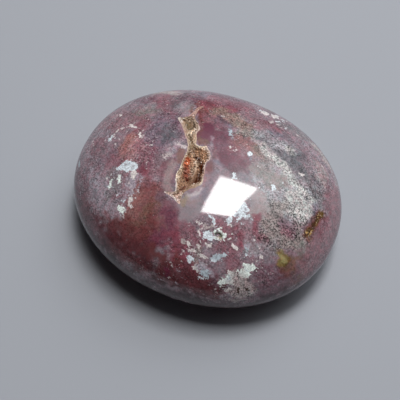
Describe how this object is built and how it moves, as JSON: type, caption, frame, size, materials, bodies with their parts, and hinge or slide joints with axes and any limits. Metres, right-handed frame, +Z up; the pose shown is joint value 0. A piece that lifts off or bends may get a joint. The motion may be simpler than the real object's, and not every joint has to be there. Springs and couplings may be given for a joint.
{
  "type": "ocean jasper palm stone",
  "caption": "Polished oval jasper pebble with a high crown, a ground resting spot and an open crystal-lined hollow in its top.",
  "frame": {"origin": "middle of the stone's box in plan, on the small ground flat that it rests on", "axes": "+Z up through the crown, +X along the stone's long axis"},
  "size_m": [0.065, 0.054, 0.0245],
  "materials": {
    "polished_jasper": "high polish, mottled brick red, plum and grey with white chalcedony",
    "druzy_quartz": "sparkling crystal crust, olive gold with an orange iron stain"
  },
  "bodies": {
    "root": {"stone": "polished_jasper", "druzy_crust": "druzy_quartz"}
  },
  "joints": []
}
